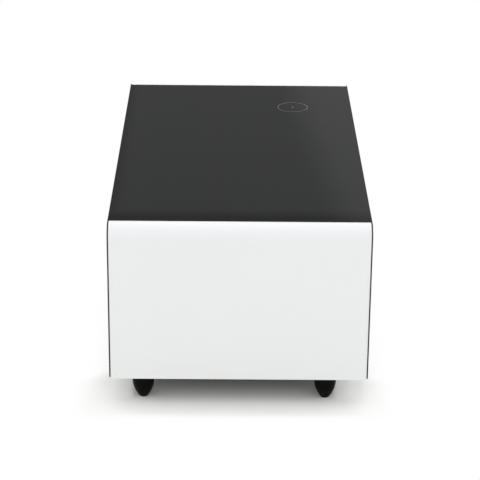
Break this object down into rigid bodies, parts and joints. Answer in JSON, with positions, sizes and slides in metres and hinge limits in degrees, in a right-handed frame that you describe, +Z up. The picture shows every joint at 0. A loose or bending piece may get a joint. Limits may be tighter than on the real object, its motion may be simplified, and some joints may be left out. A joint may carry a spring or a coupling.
{
  "type": "refrigerator coffee table",
  "caption": "Low coffee table with a black glass top and rounded white ends; a fridge drawer with its cooling machine slides out in front, storage drawers behind.",
  "frame": {"origin": "on the floor, under the middle of the table", "axes": "+X along the table's length, +Z up; the front, with the fridge drawer, faces -Y"},
  "size_m": [1.121, 0.616, 0.457],
  "materials": {
    "white_lacquer": "gloss",
    "black_glass": "gloss",
    "black_trim": "satin",
    "black_plastic": "matte",
    "foot_rubber": "satin",
    "board": "matte",
    "cabinet_plastic": "satin",
    "bin_plastic": "gloss",
    "gasket_rubber": "matte",
    "zinc_steel": "satin",
    "aluminium": "satin",
    "compressor_enamel": "satin",
    "copper_tube": "satin",
    "circuit_board": "satin",
    "coil_ferrite": "matte",
    "light_diffuser": "satin"
  },
  "bodies": {
    "carcass": {"left_end_panel": "white_lacquer", "right_end_panel": "white_lacquer", "glass_top": "black_glass", "front_top_rail": "black_trim", "back_top_rail": "black_trim", "left_speaker_panel": "black_plastic", "right_speaker_panel": "black_plastic", "left_speaker": "black_plastic", "right_speaker": "black_plastic", "outlet_panel": "black_plastic", "outlet_block": "black_plastic", "power_inlet": "black_plastic", "fan_frame": "black_plastic", "foot_front_left": "foot_rubber", "foot_front_right": "foot_rubber", "foot_back_left": "foot_rubber", "foot_back_right": "foot_rubber", "sub_top": "board", "base_panel": "board", "left_partition": "board", "right_partition": "board", "rear_partition": "board", "centre_post": "board", "fridge_cabinet": "cabinet_plastic", "compressor_bracket": "zinc_steel", "fridge_outer_rail_left": "zinc_steel", "fridge_outer_rail_right": "zinc_steel", "storage_left_outer_rail_post": "zinc_steel", "storage_left_outer_rail_end": "zinc_steel", "storage_right_outer_rail_post": "zinc_steel", "storage_right_outer_rail_end": "zinc_steel", "evaporator_plate": "aluminium", "condenser": "aluminium", "power_supply": "aluminium", "compressor": "compressor_enamel", "discharge_pipe": "copper_tube", "suction_pipe": "copper_tube", "filter_drier": "copper_tube", "control_board": "circuit_board", "touch_board": "circuit_board", "charging_coil": "coil_ferrite", "led_strip_front": "light_diffuser", "led_strip_back": "light_diffuser"},
    "fridge_drawer": {"fridge_front_glass": "black_glass", "fridge_front_core": "cabinet_plastic", "fridge_gasket": "gasket_rubber", "fridge_bin": "bin_plastic", "fridge_inner_rail_left": "zinc_steel", "fridge_inner_rail_right": "zinc_steel"},
    "fridge_middle_rails": {"fridge_middle_rail_left": "zinc_steel", "fridge_middle_rail_right": "zinc_steel"},
    "storage_left_drawer": {"storage_left_facing": "black_glass", "storage_left_box": "board", "storage_left_inner_rail_post": "zinc_steel", "storage_left_inner_rail_end": "zinc_steel"},
    "storage_right_drawer": {"storage_right_facing": "black_glass", "storage_right_box": "board", "storage_right_inner_rail_post": "zinc_steel", "storage_right_inner_rail_end": "zinc_steel"},
    "condenser_fan": {"fan_wheel": "black_plastic"}
  },
  "joints": [
    {"name": "fridge_drawer_slide", "type": "slide", "parent": "carcass", "child": "fridge_drawer", "axis": [0, -1, 0], "range_m": [0, 0.3]},
    {"name": "fridge_middle_rails_slide", "type": "slide", "parent": "carcass", "child": "fridge_middle_rails", "axis": [0, -1, 0], "range_m": [0, 0.15]},
    {"name": "storage_left_slide", "type": "slide", "parent": "carcass", "child": "storage_left_drawer", "axis": [0, 1, 0], "range_m": [0, 0.14]},
    {"name": "storage_right_slide", "type": "slide", "parent": "carcass", "child": "storage_right_drawer", "axis": [0, 1, 0], "range_m": [0, 0.14]},
    {"name": "condenser_fan_spin", "type": "hinge", "parent": "carcass", "child": "condenser_fan", "pos_m": [-0.43025, -0.2464, 0.1423], "axis": [0, 1, 0], "continuous": true}
  ],
  "couplings": [
    {"joint": "fridge_middle_rails_slide", "follows": "fridge_drawer_slide", "ratio": 0.5}
  ]
}
